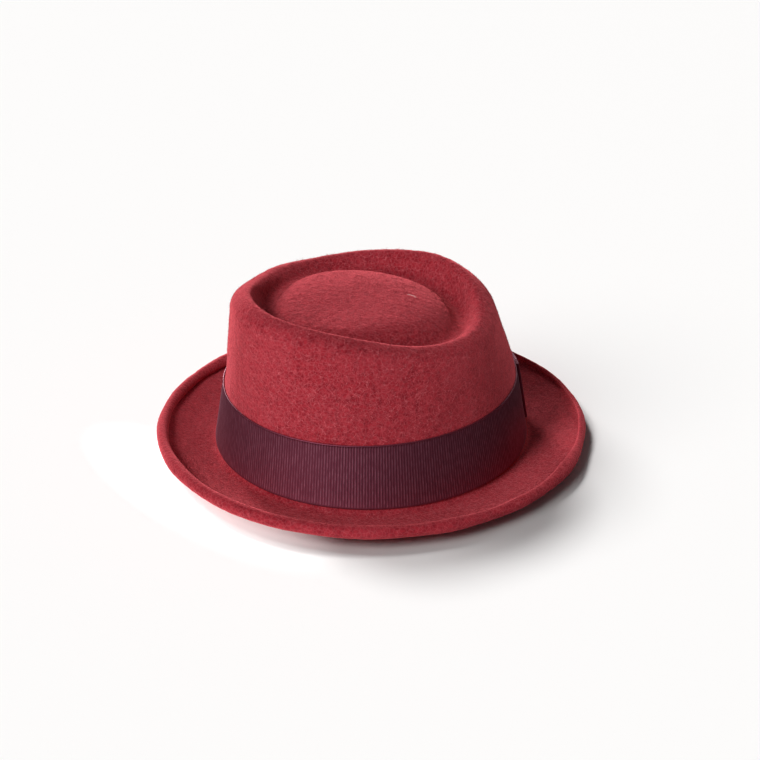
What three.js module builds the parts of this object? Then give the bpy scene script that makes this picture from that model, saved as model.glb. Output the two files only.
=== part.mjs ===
// Pork pie hat in wool felt, with a grosgrain band and a flat bow at the back.
// Millimetres, +Z up. The hat stands on the flat ring round its head opening, at z = 0.
// The front of the hat points along -Y, and the wearer's left side is +X.
import * as THREE from 'three';

// ---- driving dimensions ----------------------------------------------------------------------

const FELT = 2.2;                 // thickness of the felt
const STEPS_ROUND = 64;           // straight steps in one turn round the head
const TIP_HEIGHT = 98;            // height of the dome at the middle of the crown
const MOST_OF_A_SIDE = 0.48;      // share of a straight side that one rounding may take

const ROLL_RADIUS = 3.6;          // outer radius of the rolled brim edge
const ROLL_STEPS = 9;             // straight steps along the roll

const RIBBON = 0.8;               // thickness of the grosgrain ribbon
const GAP = 0.45;                 // space between the felt and the band
const BAND_FOOT = 5.4;            // height of the band's lower edge
const BAND_HEIGHT = 38.8;         // width of the ribbon, edge to edge
const BAND_LEVELS = 3;            // straight steps up the band

const BOW_GAP = 0.6;              // space between the band, the loops and the knot
const BOW_HALF_LENGTH = 55;       // from the middle of the bow to the end of a loop
const LOOP_END_DEPTH = 2.8;       // how far a loop stands off the band at its end
const LOOP_END_HEIGHT = 38;       // height of a loop at its end
const LOOP_MIDDLE_HEIGHT = 29;    // height of the loops where the knot holds them
const LOOP_PINCH = 1;             // how far past the knot the loops stay pressed flat
const LOOP_OPENING = 32;          // length over which a loop then opens out
const LOOP_LEVELS = 2;            // straight steps up a loop
const LAYER_STEPS = 18;           // straight steps along each layer of the loops
const FOLD_STEPS = 5;             // straight steps round the fold at the end of a loop
const KNOT_WIDTH = 15;            // width of the ribbon wrapped round the bow
const KNOT_STEPS_ACROSS = 4;      // straight steps across the knot
const KNOT_CORNER = 1.3;          // how far the knot's corners are rounded off
const KNOT_CORNER_STEPS = 2;      // straight steps round each of the knot's corners

// Rings of the felt's outer skin, from the brim's foot up over the crest and down to the tip.
// A ring has its reach from the middle and its height at the front, the sides and the back.
// `point` draws the front quarters in, which gives the teardrop. `bend` is how far the rounding
// runs to each side of the ring, in `steps` straight steps.
const COLUMNS = ['ring', 'front', 'side', 'back', 'frontZ', 'sideZ', 'backZ', 'point', 'bend', 'steps'];
const RINGS = [
  ['brim foot', 107.8, 106.3, 106.8, FELT, FELT, FELT, 0, 6, 2],
  ['crown foot', 95.6, 93.7, 95.2, FELT, FELT, FELT, 0, 4, 2],
  ['band top', 90.3, 84.6, 89, 46.2, 46.2, 46.2, 0, 14, 2],
  ['shoulder', 89.4, 78.3, 71.6, 107.5, 90, 93.2, 8.5, 6, 2],
  ['crest', 78.3, 68.6, 59.3, 113.6, 93.9, 103.9, 11.6, 7, 3],
  ['groove', 72, 59.5, 49.9, 88.8, 84.9, 81.6, 8.6, 6, 3],
  ['dome edge', 59.3, 47.3, 36.9, 97, 95, 93.7, 8.6, 9, 2],
  ['dome top', 30, 26, 22, TIP_HEIGHT, TIP_HEIGHT, TIP_HEIGHT, 0, 16, 2],
].map(namedColumns);

// The rolled edge: its outermost reach, and the height of the middle of the roll.
const ROLLED_EDGE = namedColumns(['rolled edge', 132, 128.9, 132, 11.2, 8.2, 7, 0]);

// Where the raw edge of the roll stops, in degrees from the brim. It opens out towards the back.
const ROLL_END = { front: 197, side: 190, back: 40 };

const FELT_RED = '#a73b44';
const RIBBON_PLUM = '#673643';

// ---- measuring round the head ------------------------------------------------------------------

function namedColumns(row) {
  return Object.fromEntries(row.map((value, index) => [COLUMNS[index], value]));
}

// Turns smoothly from the front value through the side value to the back value.
// `facing` is 1 at the front, 0 at the sides and -1 at the back.
function roundTheHead(front, side, back, facing) {
  const frontShare = (facing * facing + facing) / 2;
  const backShare = (facing * facing - facing) / 2;
  return front * frontShare + side * (1 - facing * facing) + back * backShare;
}

// Reach and height of a ring at an angle, counted from the front towards the wearer's left.
function ringAt(ring, angle) {
  const facing = Math.cos(angle);
  const sideways = Math.sin(angle) ** 2;
  const drawnIn = ring.point * sideways * facing * (1 + facing);
  return {
    reach: roundTheHead(ring.front, ring.side, ring.back, facing) - drawnIn,
    height: roundTheHead(ring.frontZ, ring.sideZ, ring.backZ, facing),
  };
}

function towards(from, to, distance) {
  const length = Math.hypot(to.reach - from.reach, to.height - from.height);
  const share = Math.min(distance / length, MOST_OF_A_SIDE);
  return {
    reach: from.reach + (to.reach - from.reach) * share,
    height: from.height + (to.height - from.height) * share,
  };
}

// ---- the felt's section at one angle -----------------------------------------------------------

// A point of the section: where it is, and which way is out of the felt there.
function sectionPoint(reach, height, alongReach, alongHeight) {
  const length = Math.hypot(alongReach, alongHeight);
  return { reach, height, outReach: alongHeight / length, outHeight: -alongReach / length };
}

// The rounded corner that a ring makes between its neighbours.
function bendPoints(before, ring, after, bend, steps) {
  const start = towards(ring, before, bend);
  const end = towards(ring, after, bend);
  return Array.from({ length: steps + 1 }, (_, index) => {
    const t = index / steps;
    const mix = (key) => start[key] * (1 - t) ** 2 + 2 * ring[key] * t * (1 - t) + end[key] * t * t;
    const slope = (key) => (ring[key] - start[key]) * (1 - t) + (end[key] - ring[key]) * t;
    return sectionPoint(mix('reach'), mix('height'), slope('reach'), slope('height'));
  });
}

// How far the roll turns at an angle. It is closed round the front half.
function rollEnd(angle) {
  const opening = roundTheHead(ROLL_END.front, ROLL_END.side, ROLL_END.back, Math.cos(angle));
  return THREE.MathUtils.degToRad(Math.min(opening, ROLL_END.front));
}

// The roll starts level with the brim's slope, and turns up, over and back in.
function rollPoints(angle, brimFoot) {
  const edge = ringAt(ROLLED_EDGE, angle);
  const middle = { reach: edge.reach - ROLL_RADIUS, height: edge.height };
  const inside = ROLL_RADIUS - FELT;
  const rise = middle.height - inside - brimFoot.height;
  const slope = Math.atan2(rise, middle.reach - brimFoot.reach);
  const first = slope - Math.PI / 2;
  const last = slope + rollEnd(angle);
  return Array.from({ length: ROLL_STEPS + 1 }, (_, index) => {
    const turn = last + (first - last) * index / ROLL_STEPS;
    const reach = middle.reach + inside * Math.cos(turn);
    const height = middle.height + inside * Math.sin(turn);
    return { reach, height, outReach: -Math.cos(turn), outHeight: -Math.sin(turn) };
  });
}

// Outer skin of the felt at one angle, from the raw edge of the roll to the tip of the crown.
function feltSection(angle) {
  const rings = RINGS.map((ring) => ringAt(ring, angle));
  const roll = rollPoints(angle, rings[0]);
  const tip = { reach: 0, height: TIP_HEIGHT };
  const corners = [roll.at(-1), ...rings, tip];
  const bends = RINGS.map((ring, index) => (
    bendPoints(corners[index], corners[index + 1], corners[index + 2], ring.bend, ring.steps)
  ));
  return [...roll, ...bends.flat()];
}

// The same section on the other side of the felt.
function innerSide(point) {
  return {
    reach: point.reach - point.outReach * FELT,
    height: point.height - point.outHeight * FELT,
  };
}

// Reach of the crown's wall at an angle and a height.
function wallReach(angle, height) {
  const section = feltSection(angle).slice(ROLL_STEPS + 1);
  const above = section.findIndex((point) => point.height > height);
  const low = section[above - 1];
  const high = section[above];
  const share = (height - low.height) / (high.height - low.height);
  return low.reach + (high.reach - low.reach) * share;
}

// Reach of the band's outer face.
function bandReach(angle, height) {
  return wallReach(angle, height) + GAP + RIBBON;
}

function placed(angle, reach, height) {
  return new THREE.Vector3(reach * Math.sin(angle), -reach * Math.cos(angle), height);
}

// ---- closed meshes from rows of points ---------------------------------------------------------

function meshOf(name, points, triangles, material) {
  const geometry = new THREE.BufferGeometry().setFromPoints(points);
  geometry.setIndex(triangles);
  geometry.computeVertexNormals();
  const mesh = new THREE.Mesh(geometry, material);
  mesh.name = name;
  return mesh;
}

// Two triangles between each pair of neighbouring points of two rows, with the rows closed.
function stripBetween(firstRow, secondRow, count) {
  const triangles = [];
  for (let index = 0; index < count; index += 1) {
    const next = (index + 1) % count;
    triangles.push(firstRow + index, firstRow + next, secondRow + next);
    triangles.push(firstRow + index, secondRow + next, secondRow + index);
  }
  return triangles;
}

// A closed loop of closed rows: a band, a folded ribbon or a knot.
function loopSolid(name, rows, material) {
  const count = rows[0].length;
  const triangles = rows.flatMap((_, index) => (
    stripBetween(index * count, ((index + 1) % rows.length) * count, count)
  ));
  return meshOf(name, rows.flat(), triangles, material);
}

// Closed rows between two single points: the felt, from under its tip round the edge to its tip.
function shellSolid(name, firstPoint, rows, lastPoint, material) {
  const count = rows[0].length;
  const triangles = rows.slice(1).flatMap((_, index) => (
    stripBetween(index * count, (index + 1) * count, count)
  ));
  const firstPole = rows.length * count;
  const lastPole = firstPole + 1;
  const lastRow = (rows.length - 1) * count;
  for (let index = 0; index < count; index += 1) {
    const next = (index + 1) % count;
    triangles.push(firstPole, next, index);
    triangles.push(lastPole, lastRow + index, lastRow + next);
  }
  return meshOf(name, [...rows.flat(), firstPoint, lastPoint], triangles, material);
}

// ---- felt body: crown and brim in one piece ----------------------------------------------------

function anglesRound() {
  return Array.from({ length: STEPS_ROUND }, (_, index) => 2 * Math.PI * index / STEPS_ROUND);
}

function feltBody(material) {
  const angles = anglesRound();
  const sections = angles.map(feltSection);
  const rowOf = (index, side) => angles.map((angle, step) => {
    const point = side(sections[step][index]);
    return placed(angle, point.reach, point.height);
  });
  const inward = sections[0].map((_, index) => index);
  const inner = inward.toReversed().map((index) => rowOf(index, innerSide));
  const outer = inward.map((index) => rowOf(index, (point) => point));
  const underTip = new THREE.Vector3(0, 0, TIP_HEIGHT - FELT);
  const tip = new THREE.Vector3(0, 0, TIP_HEIGHT);
  return shellSolid('felt_body', underTip, [...inner, ...outer], tip, material);
}

// ---- ribbon band -------------------------------------------------------------------------------

function ribbonBand(material) {
  const levels = Array.from({ length: BAND_LEVELS + 1 }, (_, index) => (
    BAND_FOOT + BAND_HEIGHT * index / BAND_LEVELS
  ));
  const row = (height, standOff) => anglesRound().map((angle) => (
    placed(angle, wallReach(angle, height) + standOff, height)
  ));
  const outside = levels.map((height) => row(height, GAP + RIBBON));
  const inside = levels.toReversed().map((height) => row(height, GAP));
  return loopSolid('ribbon_band', [...outside, ...inside], material);
}

// ---- bow at the back ---------------------------------------------------------------------------

const BOW_HEIGHT = BAND_FOOT + BAND_HEIGHT / 2;
const BACK_REACH = bandReach(Math.PI, BOW_HEIGHT);
const KNOT_BACK = BOW_GAP + RIBBON / 2;
const LAYER_BACK = KNOT_BACK + RIBBON + BOW_GAP;
const LAYER_FRONT = LAYER_BACK + RIBBON + BOW_GAP;
const KNOT_FRONT = LAYER_FRONT + RIBBON + BOW_GAP;

// A place on the bow: along the band from the middle of the back, up from the bow's middle, and
// off the band's face.
function onTheBow(along, up, standOff) {
  const angle = Math.PI + along / BACK_REACH;
  const height = BOW_HEIGHT + up;
  return placed(angle, bandReach(angle, height) + standOff, up);
}

// 0 under the knot, and 1 at the end of a loop.
function loopShare(along) {
  const clear = Math.abs(along) - KNOT_WIDTH / 2 - LOOP_PINCH;
  return THREE.MathUtils.smoothstep(clear, 0, LOOP_OPENING);
}

// The ribbon's middle line, once round both loops, as places along the band and off its face.
function loopRoute() {
  const backOff = BOW_GAP + RIBBON / 2;
  const frontOff = LOOP_END_DEPTH - RIBBON / 2;
  const foldRadius = (frontOff - backOff) / 2;
  const reach = BOW_HALF_LENGTH - RIBBON / 2 - foldRadius;
  const layer = (middleOff, endOff, side) => Array.from({ length: LAYER_STEPS + 1 }, (_, index) => {
    const along = side * reach * (2 * index / LAYER_STEPS - 1);
    return { along, standOff: THREE.MathUtils.lerp(middleOff, endOff, loopShare(along)) };
  });
  const fold = (side) => Array.from({ length: FOLD_STEPS - 1 }, (_, index) => {
    const turn = Math.PI * (index + 1) / FOLD_STEPS;
    return {
      along: side * (reach + foldRadius * Math.sin(turn)),
      standOff: backOff + foldRadius - side * foldRadius * Math.cos(turn),
    };
  });
  return [
    ...layer(LAYER_BACK, backOff, 1),
    ...fold(1),
    ...layer(LAYER_FRONT, frontOff, -1),
    ...fold(-1),
  ];
}

// Which way is across the ribbon's thickness at each place of a closed route.
function acrossRoute(route, index, alongKey, offKey) {
  const before = route.at(index - 1);
  const after = route[(index + 1) % route.length];
  const along = after[alongKey] - before[alongKey];
  const off = after[offKey] - before[offKey];
  const length = Math.hypot(along, off);
  return { along: -off / length, off: along / length };
}

function bowLoops(material) {
  const route = loopRoute();
  const rows = route.map((place, index) => {
    const across = acrossRoute(route, index, 'along', 'standOff');
    const height = THREE.MathUtils.lerp(LOOP_MIDDLE_HEIGHT, LOOP_END_HEIGHT, loopShare(place.along));
    const side = (half) => Array.from({ length: LOOP_LEVELS + 1 }, (_, level) => (
      onTheBow(
        place.along + across.along * half,
        height * (level / LOOP_LEVELS - 0.5),
        place.standOff + across.off * half,
      )
    ));
    return [...side(-RIBBON / 2), ...side(RIBBON / 2).toReversed()];
  });
  return loopSolid('bow_loops', rows, material);
}

// The knot's route goes once round the loops, up behind them and down in front.
function knotRoute() {
  const top = LOOP_MIDDLE_HEIGHT / 2 + BOW_GAP + RIBBON / 2;
  const corners = [[-top, KNOT_BACK], [top, KNOT_BACK], [top, KNOT_FRONT], [-top, KNOT_FRONT]]
    .map(([height, reach]) => ({ height, reach }));
  return corners.flatMap((corner, index) => (
    bendPoints(corners.at(index - 1), corner, corners[(index + 1) % 4], KNOT_CORNER, KNOT_CORNER_STEPS)
  ));
}

function bowKnot(material) {
  const route = knotRoute();
  const rows = route.map((place, index) => {
    const across = acrossRoute(route, index, 'height', 'reach');
    const side = (half) => Array.from({ length: KNOT_STEPS_ACROSS + 1 }, (_, step) => (
      onTheBow(
        KNOT_WIDTH * (step / KNOT_STEPS_ACROSS - 0.5),
        place.height + across.along * half,
        place.reach + across.off * half,
      )
    ));
    return [...side(RIBBON / 2), ...side(-RIBBON / 2).toReversed()];
  });
  return loopSolid('bow_knot', rows, material);
}

// ---- the hat -----------------------------------------------------------------------------------

const felt = new THREE.MeshStandardMaterial({ color: FELT_RED, roughness: 0.95, metalness: 0 });
const bandRibbon = new THREE.MeshStandardMaterial({ color: RIBBON_PLUM, roughness: 0.6, metalness: 0 });
const bowRibbon = bandRibbon.clone();

const bow = new THREE.Group();
bow.position.z = BOW_HEIGHT;
bow.add(bowLoops(bowRibbon), bowKnot(bowRibbon.clone()));

const hat = new THREE.Group();
hat.add(feltBody(felt), ribbonBand(bandRibbon), bow);

export default hat;
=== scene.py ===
# A pork pie hat in blocked wool felt, with a grosgrain band and a flat bow at the back.
# The hat's front points along -Y, and the wearer's left side is +X. Sizes are in millimetres,
# and become metres where a mesh is made.
import math

import bpy
import numpy as np
from mathutils import Matrix, Vector


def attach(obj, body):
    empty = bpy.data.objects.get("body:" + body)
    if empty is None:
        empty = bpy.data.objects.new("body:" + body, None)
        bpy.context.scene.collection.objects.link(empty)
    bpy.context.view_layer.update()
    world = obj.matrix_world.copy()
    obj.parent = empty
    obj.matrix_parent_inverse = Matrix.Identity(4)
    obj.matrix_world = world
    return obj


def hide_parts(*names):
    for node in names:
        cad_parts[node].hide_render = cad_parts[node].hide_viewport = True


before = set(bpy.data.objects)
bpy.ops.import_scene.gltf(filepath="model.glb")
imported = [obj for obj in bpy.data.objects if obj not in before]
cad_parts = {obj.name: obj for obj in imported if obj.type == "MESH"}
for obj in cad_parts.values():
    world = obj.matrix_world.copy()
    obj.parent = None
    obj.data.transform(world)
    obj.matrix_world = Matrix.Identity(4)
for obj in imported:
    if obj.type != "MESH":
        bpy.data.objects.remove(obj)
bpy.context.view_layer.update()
MM = 0.001


# ---- camera ------------------------------------------------------------------------------------
# A long lens, a metre and a half from the hat, looks down at its front and its left side.
# Directions round the hat count from its front towards the wearer's left.
VIEW_AZIMUTH = 48.0
VIEW_ELEVATION = 28.41
VIEW_DISTANCE = 1500.0
VIEW_AIM = Vector((7.2, 0.4, 42.2))
LENS = 117.9


def direction(azimuth, elevation):
    a, e = math.radians(azimuth), math.radians(elevation)
    return Vector((math.sin(a) * math.cos(e), -math.cos(a) * math.cos(e), math.sin(e)))


def stand_and_look(data, azimuth, elevation, distance, aim):
    """An object with that data, at a distance from the aim, turned to look at it."""
    back = direction(azimuth, elevation)
    right = direction(azimuth + 90, 0)
    turned = Matrix((right, back.cross(right), back)).transposed().to_4x4()
    thing = bpy.data.objects.new(data.name, data)
    thing.matrix_world = Matrix.Translation((aim + back * distance) * MM) @ turned
    bpy.context.scene.collection.objects.link(thing)
    return thing


camera_data = bpy.data.cameras.new("camera")
camera_data.lens = LENS
camera_data.sensor_width = 36.0
camera_data.clip_end = 50.0
bpy.context.scene.camera = stand_and_look(
    camera_data, VIEW_AZIMUTH, VIEW_ELEVATION, VIEW_DISTANCE, VIEW_AIM
)


# ---- floor and light ---------------------------------------------------------------------------
# A plain, nearly white tabletop of painted board. The hat and the table have softboxes of their
# own: most of the hat's are low, and the table's throw the hat's soft shadow forwards.
TABLE_HALF = 12000.0
TABLE_WHITE = "#f4f3f2"
ROOM_WHITE = "#fdfdff"
ROOM_STRENGTH = 0.05
LIGHT_DISTANCE = 3000.0
AIM_OF_LIGHTS = Vector((0.0, 0.0, 50.0))
# name, what it lights, azimuth, elevation, how many degrees across it looks from the hat, and
# watts a square metre
SOFT_LIGHTS = [
    ("front_softbox", "hat", 2.0, 42.0, 20.0, 1.85),
    ("low_reflector", "hat", 13.0, 18.0, 16.0, 0.8),
    ("side_softbox", "hat", 302.0, 11.0, 16.0, 0.1),
    ("back_softbox", "hat", 252.0, 9.0, 14.0, 3.2),
    ("edge_softbox", "hat", 208.0, 14.0, 20.0, 0.6),
    ("table_softbox", "table", 262.0, 46.0, 14.0, 2.2),
    ("table_side_softbox", "table", 288.0, 44.0, 16.0, 1.25),
    ("table_front_softbox", "table", 350.0, 40.0, 40.0, 1.25),
]
REFLECTOR_AIM = Vector((-25.0, -118.0, 0.0))
REFLECTOR_AZIMUTH = 270.0
REFLECTOR_ELEVATION = 21.0
REFLECTOR_DISTANCE = 1000.0
REFLECTOR_SPREAD = 4.8            # degrees across its beam
REFLECTOR_WATTS = 72.0


def linear(colour):
    """An sRGB hex colour as linear RGB."""
    parts = [int(colour[i:i + 2], 16) / 255 for i in (1, 3, 5)]
    return [c / 12.92 if c <= 0.04045 else ((c + 0.055) / 1.055) ** 2.4 for c in parts]


def add_node(material, kind, links=(), **settings):
    """A node with its settings. A setting named after a socket sets that socket, and each link
    is (an output of another node, the name or index of this node's input)."""
    node = material.node_tree.nodes.new(kind)
    for name, value in settings.items():
        socket = node.inputs.get(name.replace("_", " "))
        if socket is None:
            setattr(node, name, value)
        else:
            socket.default_value = value
    for output, socket in links:
        material.node_tree.links.new(output, node.inputs[socket])
    return node


def new_material(name):
    """A material with only its output node."""
    material = bpy.data.materials.new(name)
    material.use_nodes = True
    material.node_tree.nodes.clear()
    material.node_tree.nodes.new("ShaderNodeOutputMaterial")
    return material


def finish_material(material, shader):
    output = material.node_tree.nodes["Material Output"]
    material.node_tree.links.new(shader.outputs[0], output.inputs["Surface"])
    return material


def rgba(colour):
    return (*linear(colour), 1.0)


# Matt painted board: an even white with hardly any gloss.
painted_board = new_material("painted_board")
board_shader = add_node(
    painted_board, "ShaderNodeBsdfPrincipled",
    Base_Color=rgba(TABLE_WHITE), Roughness=0.9, IOR=1.5, Specular_IOR_Level=0.1,
)
finish_material(painted_board, board_shader)

table_corners = [(-1, -1), (1, -1), (1, 1), (-1, 1)]
table_mesh = bpy.data.meshes.new("table_top")
table_mesh.from_pydata(
    [(x * TABLE_HALF * MM, y * TABLE_HALF * MM, 0.0) for x, y in table_corners],
    [], [(0, 1, 2, 3)],
)
table_mesh.materials.append(painted_board)
table_top = bpy.data.objects.new("table_top", table_mesh)
bpy.context.scene.collection.objects.link(table_top)
table_top.visible_glossy = False    # so that the satin ribbon stays dark on its shaded side

room = bpy.data.worlds.new("white_room")
room.use_nodes = True
room.node_tree.nodes["Background"].inputs["Color"].default_value = rgba(ROOM_WHITE)
room.node_tree.nodes["Background"].inputs["Strength"].default_value = ROOM_STRENGTH
bpy.context.scene.world = room

for name, lit, azimuth, elevation, across, strength in SOFT_LIGHTS:
    light = bpy.data.lights.new(name, "SUN")
    light.angle = math.radians(across)
    light.energy = strength
    receivers = bpy.data.collections.new(name)
    receivers.objects.link(table_top)
    linked = receivers.collection_objects[0].light_linking
    linked.link_state = "INCLUDE" if lit == "table" else "EXCLUDE"
    softbox = stand_and_look(light, azimuth, elevation, LIGHT_DISTANCE, AIM_OF_LIGHTS)
    softbox.light_linking.receiver_collection = receivers

# The reflector lifts the table's shadow close under the front of the brim. It shines along the
# brim's edge, so that it lights a strip, and only the table can block it.
reflector_light = bpy.data.lights.new("reflector", "SPOT")
reflector_light.energy = REFLECTOR_WATTS
reflector_light.spot_size = math.radians(REFLECTOR_SPREAD)
reflector_light.spot_blend = 1.0
reflector = stand_and_look(
    reflector_light, REFLECTOR_AZIMUTH, REFLECTOR_ELEVATION, REFLECTOR_DISTANCE, REFLECTOR_AIM,
)
only_table = bpy.data.collections.new("only_table")
only_table.objects.link(table_top)
reflector.light_linking.receiver_collection = only_table
reflector.light_linking.blocker_collection = only_table

bpy.context.scene.view_settings.view_transform = "Standard"


# ---- felt body ---------------------------------------------------------------------------------
# Crown and brim are one piece of wool felt, steamed and pulled over a wooden block: a teardrop
# crest, a groove inside it and a low domed tip. The brim's edge is rolled up and over by hand.
FELT = 2.2
TIP_HEIGHT = 98.0
ROLL_RADIUS = 3.6
# How far round the roll its cut edge stops, in degrees from the brim: in front, beside and behind.
ROLL_END = (197.0, 190.0, 40.0)
MOST_OF_A_SIDE = 0.48             # the largest share of a straight side that a corner takes
# A ring's reach from the crown's middle and its height, each in front, beside and behind. Then how
# far its front is drawn in beside the point of the teardrop, and where its corner starts to bend.
COLUMNS = ("front", "side", "back", "front_z", "side_z", "back_z", "point", "bend")
RINGS = {
    "brim foot": (107.8, 106.3, 106.8, FELT, FELT, FELT, 0, 6),
    "crown foot": (95.6, 93.7, 95.2, FELT, FELT, FELT, 0, 4),
    "band top": (90.3, 84.6, 89, 46.2, 46.2, 46.2, 0, 14),
    "shoulder": (89.4, 78.3, 71.6, 107.5, 90, 93.2, 8.5, 6),
    "crest": (78.3, 68.6, 59.3, 113.6, 93.9, 103.9, 11.6, 7),
    "groove": (72, 59.5, 49.9, 88.8, 84.9, 81.6, 8.6, 6),
    "dome edge": (59.3, 47.3, 36.9, 97, 95, 93.7, 8.6, 9),
    "dome top": (30, 26, 22, TIP_HEIGHT, TIP_HEIGHT, TIP_HEIGHT, 0, 16),
}
ROLLED_EDGE = (132, 128.9, 132, 11.2, 8.2, 7, 0, 0)    # the roll's outermost place
FELT_COLUMNS_ROUND = 320          # quads in one turn round the head
FELT_STEP = 2.2                   # length of a quad up the section
CORNER_STEPS = 8
ROLL_STEPS = 22


def round_the_head(front, side, back, facing):
    """Blends three sizes by how far a place faces the front, from 1 there to -1 behind."""
    front_share = (facing ** 2 + facing) / 2
    back_share = (facing ** 2 - facing) / 2
    return front * front_share + side * (1 - facing ** 2) + back * back_share


def ring_at(ring, angle):
    """Reach and height of a ring at angles from the front, as an array of shape (2, angles)."""
    size = dict(zip(COLUMNS, ring))
    facing = np.cos(angle)
    drawn_in = size["point"] * np.sin(angle) ** 2 * facing * (1 + facing)
    reach = round_the_head(size["front"], size["side"], size["back"], facing) - drawn_in
    height = round_the_head(size["front_z"], size["side_z"], size["back_z"], facing)
    return np.array([reach, height])


def towards(start, end, distance):
    """The place at that distance from the start of a straight side, or nearly halfway along it."""
    share = np.minimum(distance / np.hypot(*(end - start)), MOST_OF_A_SIDE)
    return start + (end - start) * share


def outward(along):
    """Which way is out of the felt, where the section runs along that way."""
    return np.array([along[1], -along[0]]) / np.hypot(*along)


def corner_rows(before, ring, after, bend):
    """Rows round the corner that the section turns at a ring, as places and ways out."""
    start, end = towards(ring, before, bend), towards(ring, after, bend)
    rows = []
    for t in np.linspace(0, 1, CORNER_STEPS + 1):
        place = start * (1 - t) ** 2 + 2 * ring * t * (1 - t) + end * t ** 2
        rows.append((place, outward((ring - start) * (1 - t) + (end - ring) * t)))
    return rows


def roll_rows(angle, brim_foot):
    """The rolled edge, from its cut end over and down to where it leaves the brim."""
    edge = ring_at(ROLLED_EDGE, angle)
    middle = edge - np.array([[ROLL_RADIUS], [0]])
    inside = ROLL_RADIUS - FELT
    rise = middle[1] - inside - brim_foot[1]
    slope = np.arctan2(rise, middle[0] - brim_foot[0])
    first = slope - math.pi / 2
    last = slope + np.radians(np.minimum(round_the_head(*ROLL_END, np.cos(angle)), ROLL_END[0]))
    rows = []
    for share in np.linspace(0, 1, ROLL_STEPS + 1):
        turn = last + (first - last) * share
        way = np.array([np.cos(turn), np.sin(turn)])
        rows.append((middle + inside * way, -way))
    return rows


def straight_rows(start, end):
    """Rows between two that a straight stretch of the section joins, a step apart."""
    length = np.hypot(*(end[0] - start[0])).mean()
    steps = max(1, round(length / FELT_STEP))
    return [
        tuple(a + (b - a) * i / steps for a, b in zip(start, end))
        for i in range(1, steps)
    ]


def felt_section(angle):
    """The felt's outer skin, from the cut end of the roll up to the tip of the crown: places and
    outward ways, each of shape (rows, 2, angles), and the row where each ring's corner starts."""
    rings = [ring_at(ring, angle) for ring in RINGS.values()]
    bends = [ring[COLUMNS.index("bend")] for ring in RINGS.values()]
    rows = roll_rows(angle, rings[0])
    starts = {}
    level = 0 * angle
    tip = np.array([level, level + TIP_HEIGHT])
    corners = [rows[-1][0], *rings, tip]
    for i, (name, bend) in enumerate(zip(RINGS, bends)):
        corner = corner_rows(*corners[i:i + 3], bend)
        rows += straight_rows(rows[-1], corner[0])
        starts[name] = len(rows)
        rows += corner
    rows += straight_rows(rows[-1], (tip, np.array([level, level + 1])))
    places, ways = (np.array(part) for part in zip(*rows))
    return places, ways, starts


def at_reach(angle, reach, height):
    """Points in millimetres at angles from the front, from their reach and height."""
    height = np.broadcast_to(height, reach.shape)
    return np.stack([reach * np.sin(angle), -reach * np.cos(angle), height], axis=-1)


def placed(angle, section):
    """The points of a section, of shape (rows, angles, 3)."""
    return at_reach(angle, section[:, 0], section[:, 1])


def turn_angles(count):
    return np.arange(count) * 2 * math.pi / count


def make_piece(name, points, faces, material):
    """A smooth-shaded object from points in millimetres."""
    mesh = bpy.data.meshes.new(name)
    mesh.from_pydata((points * MM).tolist(), [], list(faces))
    mesh.shade_smooth()
    mesh.materials.append(material)
    piece = bpy.data.objects.new(name, mesh)
    bpy.context.scene.collection.objects.link(piece)
    return piece


def quads_between(rows, columns, close_rows):
    """Quads over a grid of points whose columns close on themselves."""
    index = np.arange(rows * columns).reshape(rows, columns)
    if close_rows:
        index = np.vstack([index, index[:1]])
    low, high = index[:-1], index[1:]
    quads = np.stack([low, np.roll(low, -1, 1), np.roll(high, -1, 1), high], axis=-1)
    return quads.reshape(-1, 4).tolist()


# Blocked wool felt: matt, with a short raised nap. It shows as a fine mottle of darker and paler
# wool, thin paler fibres lying every way, and a soft bloom where the eye grazes the surface.
FELT_WOOL = "#9e2a34"
FELT_DARK = "#7a1823"
FELT_PALE = "#b03b46"
FELT_SPECK = "#6d101c"
FIBRE_PALE = "#cc6068"
WOOL_BLOOM = "#ff747c"
MOTTLE_SIZE = 3.2
SPECK_SIZE = 2.0
PATCH_SIZE = 30.0
FIBRE_SPACING = 2.4               # real wool is 0.02 mm thick, and is drawn coarser so that it shows
FIBRE_EDGE = 0.09                 # half of a fibre's width, as a share of the spacing
FIBRE_BEND = 1.6
NAP_RELIEF = 0.25
MOTTLE_RELIEF = 2.0               # how far the mottle stands up, for each step of a fibre
MIX_A, MIX_B, MIX_RESULT = 6, 7, 2    # the colour sockets of a mix node


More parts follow.
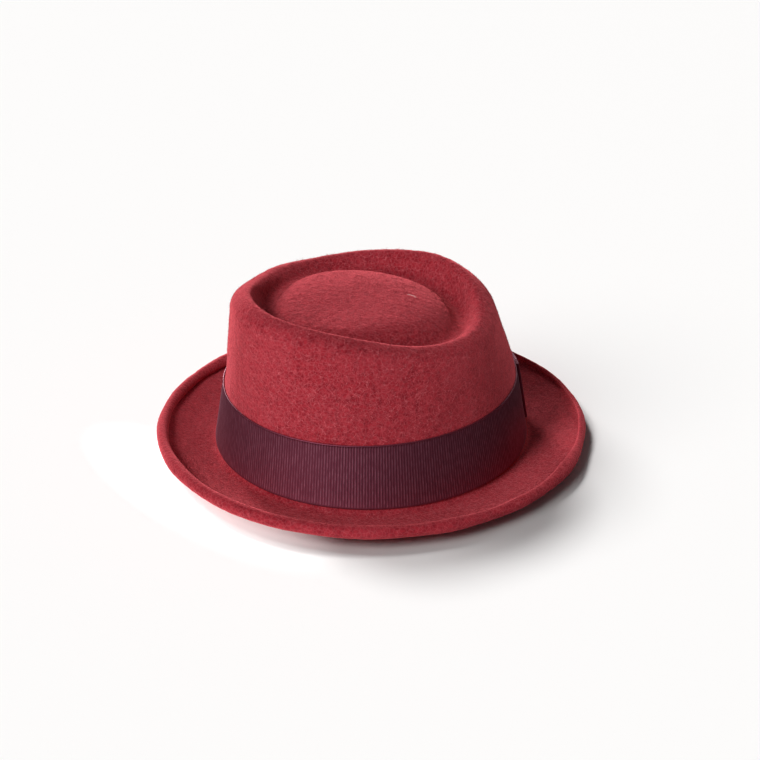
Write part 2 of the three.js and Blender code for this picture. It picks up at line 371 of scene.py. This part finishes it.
def wool_felt():
    wool = new_material("wool_felt")
    place = add_node(wool, "ShaderNodeTexCoord").outputs["Object"]
    mottle = add_node(
        wool, "ShaderNodeTexNoise", [(place, "Vector")],
        Scale=1000 / MOTTLE_SIZE, Detail=4.0, Roughness=0.65,
    ).outputs["Fac"]
    specks = add_node(
        wool, "ShaderNodeTexNoise", [(place, "Vector")],
        Scale=1000 / SPECK_SIZE, Detail=2.0, Roughness=0.5,
    ).outputs["Fac"]
    patches = add_node(
        wool, "ShaderNodeTexNoise", [(place, "Vector")], Scale=1000 / PATCH_SIZE, Detail=2.0,
    ).outputs["Fac"]
    bending = add_node(
        wool, "ShaderNodeTexNoise", [(place, "Vector")], Scale=1000 / (2 * MOTTLE_SIZE), Detail=1.0,
    ).outputs["Color"]
    bent = add_node(
        wool, "ShaderNodeVectorMath", [(bending, 0), (place, 2)], operation="MULTIPLY_ADD",
    )
    bent.inputs[1].default_value = (FIBRE_BEND * MM,) * 3
    lines = add_node(
        wool, "ShaderNodeTexVoronoi", [(bent.outputs["Vector"], "Vector")],
        feature="DISTANCE_TO_EDGE", Scale=1000 / FIBRE_SPACING,
    ).outputs["Distance"]
    fibres = add_node(
        wool, "ShaderNodeMapRange", [(lines, "Value")],
        From_Min=0.0, From_Max=FIBRE_EDGE, To_Min=1.0, To_Max=0.0,
    ).outputs["Result"]
    # The layers over the dark wool: a pattern, the range of it that counts, how much, and a colour.
    layers = [
        (mottle, 0.36, 0.58, 1.0, FELT_WOOL),
        (patches, 0.42, 0.66, 0.3, FELT_PALE),
        (fibres, 0.0, 1.0, 0.36, FIBRE_PALE),
        (specks, 0.62, 0.72, 0.35, FELT_SPECK),
    ]
    below = None
    for amount, low, high, most, shade in layers:
        share = add_node(
            wool, "ShaderNodeMapRange", [(amount, "Value")],
            From_Min=low, From_Max=high, To_Min=0.0, To_Max=most,
        ).outputs["Result"]
        mix = add_node(wool, "ShaderNodeMix", [(share, 0)], data_type="RGBA")
        mix.inputs[MIX_B].default_value = rgba(shade)
        if below:
            wool.node_tree.links.new(below, mix.inputs[MIX_A])
        else:
            mix.inputs[MIX_A].default_value = rgba(FELT_DARK)
        below = mix.outputs[MIX_RESULT]
    relief = add_node(wool, "ShaderNodeMath", [(mottle, 0), (fibres, 2)], operation="MULTIPLY_ADD")
    relief.inputs[1].default_value = MOTTLE_RELIEF
    bump = add_node(
        wool, "ShaderNodeBump", [(relief.outputs[0], "Height")],
        Strength=0.55, Distance=NAP_RELIEF * MM,
    ).outputs["Normal"]
    shader = add_node(
        wool, "ShaderNodeBsdfPrincipled", [(below, "Base Color"), (bump, "Normal")],
        Roughness=0.95, IOR=1.45, Specular_IOR_Level=0.0,
        Sheen_Weight=1.0, Sheen_Roughness=0.5, Sheen_Tint=rgba(WOOL_BLOOM),
    )
    return finish_material(wool, shader)


def unevenness(points, size, seed):
    """A smooth random field of waves of about that size. It is mostly within one and reaches four."""
    rng = np.random.default_rng(seed)
    field = np.zeros(points.shape[:-1])
    waves = 14
    for _ in range(waves):
        way = rng.normal(size=3)
        way *= 2 * math.pi / size / np.linalg.norm(way) * rng.uniform(0.7, 1.4)
        field += np.sin(points @ way + rng.uniform(0, 2 * math.pi))
    return field * math.sqrt(2 / waves)


HAND_BLOCKED_DEPTH = 0.28         # slow waves that the hands leave in the felt
HAND_BLOCKED_SIZE = 55.0
PEBBLE_DEPTH = 0.06               # the finer unevenness of the pressed wool
PEBBLE_SIZE = 6.5
EVEN_BELOW = 42.0                 # the wall is even under the band, up to this height
EVEN_FADE = 8.0
FLAT_FADE = 6.0                   # the felt is even where it lies flat, up to this far above it
UNDERSIDE_STRIDE = 3              # the underside takes every third row of the outer skin
CUT_EDGE_SHARES = (0.35, 0.85)    # thickness of the first rows: the cut edge is worn round

felt_angles = turn_angles(FELT_COLUMNS_ROUND)
skin, skin_out, ring_rows = felt_section(felt_angles)
on_skin = placed(felt_angles, skin)
raised = HAND_BLOCKED_DEPTH * unevenness(on_skin, HAND_BLOCKED_SIZE, seed=3)
raised += PEBBLE_DEPTH * unevenness(on_skin, PEBBLE_SIZE, seed=5)
raised *= np.clip((on_skin[..., 2] - FELT) / FLAT_FADE, 0, 1)
crown_start = ring_rows["crown foot"]
raised[crown_start:] *= np.clip((on_skin[crown_start:, :, 2] - EVEN_BELOW) / EVEN_FADE, 0, 1)
skin = skin + skin_out * raised[:, None, :]
thinned = np.zeros(len(skin))
thinned[:len(CUT_EDGE_SHARES)] = (1 - np.array(CUT_EDGE_SHARES)) * FELT / 2
inset = skin_out * thinned[:, None, None]
on_skin = placed(felt_angles, skin - inset)
under_skin = placed(felt_angles, skin - skin_out * FELT + inset)
cut_edge_rows = range(len(CUT_EDGE_SHARES) + 1)
coarse_rows = sorted({*cut_edge_rows, *range(0, len(skin), UNDERSIDE_STRIDE), len(skin) - 1})
felt_rows = np.concatenate([under_skin[coarse_rows][::-1], on_skin])
tips = np.array([[0, 0, TIP_HEIGHT - FELT], [0, 0, TIP_HEIGHT]])
felt_points = np.concatenate([felt_rows.reshape(-1, 3), tips])
felt_quads = quads_between(len(felt_rows), FELT_COLUMNS_ROUND, close_rows=False)
first_row = np.arange(FELT_COLUMNS_ROUND)
last_row = first_row + (len(felt_rows) - 1) * FELT_COLUMNS_ROUND
for pole, row in ((len(felt_points) - 2, first_row[::-1]), (len(felt_points) - 1, last_row)):
    felt_quads += [(pole, a, b) for a, b in zip(row.tolist(), np.roll(row, -1).tolist())]
felt_body = make_piece("felt_hat_body", felt_points, felt_quads, wool_felt())
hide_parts("felt_body")
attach(felt_body, "root")


# ---- nap of the felt ---------------------------------------------------------------------------
# Wool fibres that the brushing has lifted out of the felt, on the crown and on the brim. They lie
# every way, curled, a few tenths of a millimetre off the skin. Real wool is 0.02 mm thick, and is
# drawn coarser so that it shows.

# How many on the crown and on the brim, shortest, longest, width, and the least and most rise for
# each millimetre of length. The long ones show by themselves.
FIBRES = [
    (42000, 30000, 0.7, 1.8, 0.12, 0.05, 0.45),
    (7600, 5600, 2.2, 5.0, 0.22, 0.02, 0.10),
]
FIBRE_CURL = 0.45                 # how far a fibre swings to a side for each millimetre
FIBRE_ROWS = 4
FIBRE_REST = 0.03                 # how far off the felt it starts
NAP_CLEAR_OF_BAND = (4.0, 45.0)   # heights on the wall that the band covers
NAP_CLEAR_REACH = 97.6            # and how far out the wall lies there
# The dye, and a paler colour that is a painted highlight for single fibres catching the light.
NAP_DYE_AND_HIGHLIGHT = ("#b03c46", "#d0626a")


def wool_nap():
    """Loose wool: the felt's own dye, with a paler painted highlight on the fibres noise picks."""
    nap = new_material("wool_nap")
    place = add_node(nap, "ShaderNodeTexCoord").outputs["Object"]
    shade = add_node(
        nap, "ShaderNodeTexNoise", [(place, "Vector")], Scale=1000 / SPECK_SIZE, Detail=1.0,
    ).outputs["Fac"]
    share = add_node(
        nap, "ShaderNodeMapRange", [(shade, "Value")], From_Min=0.4, From_Max=0.62,
    ).outputs["Result"]
    mix = add_node(nap, "ShaderNodeMix", [(share, 0)], data_type="RGBA")
    for socket, colour in zip((MIX_A, MIX_B), NAP_DYE_AND_HIGHLIGHT):
        mix.inputs[socket].default_value = rgba(colour)
    shader = add_node(
        nap, "ShaderNodeBsdfPrincipled", [(mix.outputs[MIX_RESULT], "Base Color")],
        Roughness=0.9, IOR=1.45, Specular_IOR_Level=0.0,
    )
    return finish_material(nap, shader)


def bare_felt(surface):
    """The corners, ways out and areas of the quads of a surface of shape (rows, angles, 3). A quad
    under the band counts as having no area."""
    low, high = surface[:-1], surface[1:]
    corners = np.stack([low, np.roll(low, -1, 1), np.roll(high, -1, 1), high], axis=2)
    corners = corners.reshape(-1, 4, 3)
    normals = np.cross(corners[:, 2] - corners[:, 0], corners[:, 3] - corners[:, 1])
    areas = np.linalg.norm(normals, axis=1)
    middles = corners.mean(axis=1)
    reach = np.hypot(middles[:, 0], middles[:, 1])
    under_band = (middles[:, 2] > NAP_CLEAR_OF_BAND[0]) & (middles[:, 2] < NAP_CLEAR_OF_BAND[1])
    normals /= areas[:, None]
    areas[under_band & (reach < NAP_CLEAR_REACH)] = 0
    return corners, normals, areas


def curled_fibres(felt, count, shortest, longest, width, least_rise, most_rise, rng):
    """Points of curled fibres, of shape (count, FIBRE_ROWS, 2, 3), spread evenly over the felt."""
    corners, normals, areas = felt
    chosen = rng.choice(len(corners), size=count, p=areas / areas.sum())
    out = normals[chosen][:, None]
    u, v = rng.uniform(size=(2, count, 1))
    a, b, c, d = corners[chosen].transpose(1, 0, 2)
    root = ((a * (1 - u) + b * u) * (1 - v) + (d * (1 - u) + c * u) * v)[:, None]
    way = np.cross(out, rng.normal(size=(count, 1, 3)))
    way /= np.linalg.norm(way, axis=2)[..., None]
    side = np.cross(out, way)
    along = np.linspace(0, 1, FIBRE_ROWS)[None, :, None]
    length = rng.uniform(shortest, longest, size=(count, 1, 1))
    rise = rng.uniform(least_rise, most_rise, size=(count, 1, 1)) * length
    bend, wave = rng.uniform(-FIBRE_CURL, FIBRE_CURL, size=(2, count, 1, 1)) * length
    swing = bend * along ** 2 + wave * np.sin(along * math.pi)
    middle = root + way * length * along + side * swing + out * (FIBRE_REST + rise * along)
    half = side * width / 2 * (1 - along ** 3)
    return np.stack([middle - half, middle + half], axis=2)


def nap_fibres(name, surface, which, seed):
    """The fibres of one part of the hat, as thin tapering strips. `which` is 0 or 1, for the
    column that says how many."""
    rng = np.random.default_rng(seed)
    felt = bare_felt(surface)
    points = np.concatenate([
        curled_fibres(felt, kind[which], *kind[2:], rng) for kind in FIBRES
    ])
    strip = np.arange(FIBRE_ROWS - 1)[:, None] * 2 + [0, 1, 3, 2]
    start = np.arange(len(points))[:, None, None] * 2 * FIBRE_ROWS
    quads = (start + strip).reshape(-1, 4).tolist()
    return make_piece(name, points.reshape(-1, 3), quads, nap_material)


nap_material = wool_nap()
for name, surface, which, seed in (
    ("crown_nap", on_skin[crown_start:], 0, 11),
    ("brim_nap", on_skin[:crown_start + 1], 1, 12),
):
    nap = nap_fibres(name, surface, which, seed)
    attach(nap, "root")


# ---- stray lint --------------------------------------------------------------------------------
# One pale cotton fibre that has settled on the dome, to the left of its middle and behind it. It
# lies on the felt in a shallow curl, and is drawn thicker than real lint so that it shows.
LINT_START = (15.8, 14.3)
LINT_END = (22.8, 15.3)
LINT_HEIGHT = 98.35
LINT_WHITE = "#e6c6c2"
LINT_CURL = 0.9
LINT_RADIUS = 0.14
LINT_TAPER = 0.02                 # how thin its ends are, as a share of its section
LINT_STEPS = 14
LINT_SIDES = 6

# Cotton lint: dull and off-white, with a little of the felt's red shining through.
cotton = new_material("cotton_lint")
cotton_shader = add_node(
    cotton, "ShaderNodeBsdfPrincipled", Base_Color=rgba(LINT_WHITE), Roughness=0.9,
)
finish_material(cotton, cotton_shader)

walk = np.linspace(0, 1, LINT_STEPS + 1)[:, None]
lint_line = np.array(LINT_START) + (np.array(LINT_END) - LINT_START) * walk
lint_line[:, 1] += LINT_CURL * np.sin(walk[:, 0] * math.pi)
lint_turn = turn_angles(LINT_SIDES)
lint_thickness = LINT_RADIUS * np.sqrt(np.clip(1 - (2 * walk - 1) ** 4, LINT_TAPER, 1))
lint_points = np.stack([
    np.broadcast_to(lint_line[:, :1], (LINT_STEPS + 1, LINT_SIDES)),
    lint_line[:, 1:] + lint_thickness * np.cos(lint_turn),
    LINT_HEIGHT + lint_thickness * np.sin(lint_turn),
], axis=-1)
lint_faces = quads_between(LINT_STEPS + 1, LINT_SIDES, close_rows=False)
lint_ends = np.arange(LINT_SIDES)
lint_faces += [lint_ends[::-1].tolist(), (lint_ends + LINT_STEPS * LINT_SIDES).tolist()]
lint = make_piece("stray_lint_fibre", lint_points.reshape(-1, 3), lint_faces, cotton)
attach(lint, "root")


# ---- grosgrain band ----------------------------------------------------------------------------
# A corded ribbon round the foot of the crown, woven with a stout weft that makes upright ribs.
# It is stitched on by hand with hidden stitches, and its two ends meet under the bow.
RIBBON = 0.8
GAP = 0.12                        # between the ribbon and the felt
# The smooth woven edges get this share of the crests' painted highlight, as a pale line.
SELVEDGE_HIGHLIGHT = 0.35             # how far the smooth woven edges look like a rib's crest
BAND_FOOT = 5.4
BAND_HEIGHT = 38.8
RIBS_ROUND = 348                  # ribs of 1.7 mm, drawn coarser than the real 0.9 mm
STEPS_A_RIB = 5
RIB_DEPTH = 0.17
FACE_STEPS = 10                   # quads up a face of the ribbon


def ribbon_outline():
    """The ribbon's section as places across its width, from -0.5 to 0.5, and through its
    thickness, from -1 to 1, with how far the ribs show there."""
    face = np.linspace(-0.46, 0.46, FACE_STEPS + 1)
    outer = [(u, 1.0, 1.0) for u in face]
    inner = [(u, -1.0, 1.0) for u in face[::-1]]
    # The ribs stop just short of the woven edge, whose corners are cut.
    top = [
        (0.483, 1.0, 1.0), (0.485, 1.0, 0.0), (0.496, 1.0, 0.0), (0.5, 0.5, 0.0),
        (0.5, -0.5, 0.0), (0.496, -1.0, 0.0), (0.483, -1.0, 0.0),
    ]
    foot = [(-u, -t, rib) for u, t, rib in top]
    return np.array(outer + top + inner + foot)


def rib_crest(count, ribs):
    """1 on the crest of a rib and 0 between two, at places one after another along a ribbon."""
    return 0.5 + 0.5 * np.cos(np.arange(count) * 2 * math.pi * ribs / count)


def make_ribbon(name, place, width, ribs):
    """A closed ribbon with ribs. `place` turns a place across the width, in mm, and an offset
    through the thickness into one row of points."""
    crest = rib_crest(ribs * STEPS_A_RIB, ribs)
    rows, crests = [], []
    for across, through, ribbed in ribbon_outline():
        offset = through * (RIBBON / 2 - RIB_DEPTH * ribbed * (1 - crest))
        rows.append(place(across * width, offset))
        # The share of painted highlight at each row: full on the crests, part of it on the woven
        # edges.
        crests.append(SELVEDGE_HIGHLIGHT + ribbed * (crest - SELVEDGE_HIGHLIGHT))
    points = np.concatenate(rows)
    quads = quads_between(len(rows), len(crest), close_rows=True)
    piece = make_piece(name, points, quads, grosgrain)
    # Each point's share of the painted highlight, which the ribbon's colour reads.
    shown = piece.data.attributes.new("rib_crest", "FLOAT", "POINT")
    shown.data.foreach_set("value", np.concatenate(crests))
    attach(piece, "root")
    return piece


# Rayon grosgrain, with a lustre nearly that of a dyed metal. Its colour is the dark dye with
# painted shade between its ribs and a painted highlight on their crests: fine pale lines that
# break where the yarn thins.
RIBBON_CREST_HIGHLIGHT = "#b87488"
RIBBON_DYE_AND_VALLEY_SHADE = "#823d50"
YARN_LENGTH = 7.0                 # between the thick and the thin places of a yarn
YARN_WIDTH = 0.9


def rayon_grosgrain():
    rayon = new_material("rayon_grosgrain")
    crest = add_node(rayon, "ShaderNodeAttribute", attribute_name="rib_crest").outputs["Fac"]
    place = add_node(rayon, "ShaderNodeTexCoord").outputs["Object"]
    along_yarn = add_node(rayon, "ShaderNodeVectorMath", [(place, 0)], operation="MULTIPLY")
    yarn_sizes = (YARN_WIDTH, YARN_WIDTH, YARN_LENGTH)
    along_yarn.inputs[1].default_value = [1 / size / MM for size in yarn_sizes]
    yarn = add_node(
        rayon, "ShaderNodeTexNoise", [(along_yarn.outputs["Vector"], "Vector")],
        Scale=1.0, Detail=2.0,
    ).outputs["Fac"]
    thick = add_node(
        rayon, "ShaderNodeMapRange", [(yarn, "Value")],
        From_Min=0.40, From_Max=0.60, To_Min=0.35, To_Max=1.0,
    ).outputs["Result"]
    thin_crest = add_node(rayon, "ShaderNodeMath", [(crest, 0), (crest, 1)], operation="MULTIPLY")
    lit = add_node(
        rayon, "ShaderNodeMath", [(thin_crest.outputs[0], 0), (thick, 1)], operation="MULTIPLY",
    ).outputs[0]
    # The painted highlight of the crests, over the dye and the painted shade of the valleys.
    mix = add_node(rayon, "ShaderNodeMix", [(lit, 0)], data_type="RGBA")
    mix.inputs[MIX_A].default_value = rgba(RIBBON_DYE_AND_VALLEY_SHADE)
    mix.inputs[MIX_B].default_value = rgba(RIBBON_CREST_HIGHLIGHT)
    shader = add_node(
        rayon, "ShaderNodeBsdfPrincipled", [(mix.outputs[MIX_RESULT], "Base Color")],
        Metallic=0.9, Roughness=0.55, IOR=1.47, Specular_IOR_Level=0.3,
    )
    return finish_material(rayon, shader)


def wall_reach(angle, height):
    """Reach of the crown's wall at each angle and height."""
    section, _, starts = felt_section(angle)
    wall = section[starts["crown foot"] + CORNER_STEPS:starts["shoulder"]]
    height = np.broadcast_to(height, angle.shape)
    return np.array([
        np.interp(height[i], wall[:, 1, i], wall[:, 0, i]) for i in range(len(angle))
    ])


grosgrain = rayon_grosgrain()
band_angles = turn_angles(RIBS_ROUND * STEPS_A_RIB)
BAND_MIDDLE = BAND_FOOT + BAND_HEIGHT / 2


def on_the_band(up, offset):
    height = BAND_MIDDLE + up
    reach = wall_reach(band_angles, height) + GAP + RIBBON / 2 + offset
    return at_reach(band_angles, reach, height)


band = make_ribbon("grosgrain_band", on_the_band, BAND_HEIGHT, RIBS_ROUND)
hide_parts("ribbon_band")


# ---- loops of the bow --------------------------------------------------------------------------
# One length of the same ribbon, folded back on itself at both ends so that it makes two flat
# loops, with its ends hidden under the knot. It lies against the band at the back of the hat.
BOW_GAP = 0.2                     # between the layers of the bow
BOW_HALF_LENGTH = 55.0
LOOP_END_DEPTH = 2.0
LOOP_END_HEIGHT = 38.0
LOOP_MIDDLE_HEIGHT = 29.0
LOOP_PINCH = 1.0                  # how far past the knot the loops stay narrow and flat
LOOP_OPENING = 32.0               # and how much farther they reach their full height
KNOT_WIDTH = 15.0
KNOT_BACK = BOW_GAP + RIBBON / 2
LAYER_BACK = KNOT_BACK + RIBBON + BOW_GAP
LAYER_FRONT = LAYER_BACK + RIBBON + BOW_GAP
KNOT_FRONT = LAYER_FRONT + RIBBON + BOW_GAP
LOOP_RIBS = 130
LOOP_LINE_STEPS = 200
LOOP_FOLD_STEPS = 40
BACK = np.array([math.pi])
BACK_REACH = float(wall_reach(BACK, BAND_MIDDLE)[0]) + GAP + RIBBON


def on_the_bow(along, up, stand_off):
    """Points along the band from the middle of the back, up from the bow's middle, and off the
    band's face."""
    angle = math.pi + along / BACK_REACH
    height = BAND_MIDDLE + up
    reach = wall_reach(angle, height) + GAP + RIBBON + stand_off
    return at_reach(angle, reach, height)


def loop_share(along):
    """0 under the knot, and 1 at the end of a loop."""
    t = np.clip((np.abs(along) - KNOT_WIDTH / 2 - LOOP_PINCH) / LOOP_OPENING, 0, 1)
    return t * t * (3 - 2 * t)


def loop_route():
    """The ribbon's middle line, once round both loops: places along the band and off it."""
    back_off = BOW_GAP + RIBBON / 2
    front_off = LOOP_END_DEPTH - RIBBON / 2
    radius = (front_off - back_off) / 2
    half = BOW_HALF_LENGTH - RIBBON / 2 - radius
    line = np.linspace(-half, half, LOOP_LINE_STEPS)
    turn = np.linspace(0, math.pi, LOOP_FOLD_STEPS)[1:-1]
    rise = loop_share(line)
    back_layer = np.stack([line, LAYER_BACK + (back_off - LAYER_BACK) * rise])
    front_layer = np.stack([-line, LAYER_FRONT + (front_off - LAYER_FRONT) * rise])
    fold = np.stack([half + radius * np.sin(turn), back_off + radius - radius * np.cos(turn)])
    far_fold = np.stack([-half - radius * np.sin(turn), back_off + radius + radius * np.cos(turn)])
    return np.concatenate([back_layer, fold, front_layer, far_fold], axis=1)


def evenly_along(route, count):
    """Points the same distance apart along a closed route of shape (2, points), and which way is
    out of the loop at each."""
    closed = np.concatenate([route, route[:, :1]], axis=1)
    walked = np.concatenate([[0], np.cumsum(np.hypot(*np.diff(closed, axis=1)))])
    at = np.arange(count) * walked[-1] / count
    points = np.array([np.interp(at, walked, line) for line in closed])
    along = np.roll(points, -1, axis=1) - np.roll(points, 1, axis=1)
    return points, outward(along)


loop_line, loop_out = evenly_along(loop_route(), LOOP_RIBS * STEPS_A_RIB)


def on_a_loop(up, offset):
    along, stand_off = loop_line + loop_out * offset
    middle, end = LOOP_MIDDLE_HEIGHT, LOOP_END_HEIGHT
    narrowed = (middle + (end - middle) * loop_share(along)) / LOOP_END_HEIGHT
    return on_the_bow(along, up * narrowed, stand_off)


loops = make_ribbon("bow_loops_ribbon", on_a_loop, LOOP_END_HEIGHT, LOOP_RIBS)
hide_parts("bow_loops")


# ---- knot of the bow ---------------------------------------------------------------------------
# A short piece of the ribbon wrapped once round the middle of the loops, and sewn behind them.
# Its ribs run level, because it is turned a quarter from the band.
KNOT_CORNER = 1.3
KNOT_RIBS = 44


def knot_route():
    """The knot's middle line, once round the loops: places up from the bow's middle and off it."""
    top = LOOP_MIDDLE_HEIGHT / 2 + BOW_GAP + RIBBON / 2
    ring = [(-top, KNOT_BACK), (top, KNOT_BACK), (top, KNOT_FRONT), (-top, KNOT_FRONT)]
    ring = [np.array(corner).reshape(2, 1) for corner in ring]
    route = []
    for i, corner in enumerate(ring):
        rows = corner_rows(ring[i - 1], corner, ring[(i + 1) % len(ring)], KNOT_CORNER)
        route += [place for place, _ in rows]
    return np.concatenate(route, axis=1)


knot_line, knot_out = evenly_along(knot_route(), KNOT_RIBS * STEPS_A_RIB)


def on_the_knot(along, offset):
    up, stand_off = knot_line + knot_out * offset
    return on_the_bow(np.full(up.shape, along), up, stand_off)


knot = make_ribbon("bow_knot_ribbon", on_the_knot, KNOT_WIDTH, KNOT_RIBS)
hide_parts("bow_knot")
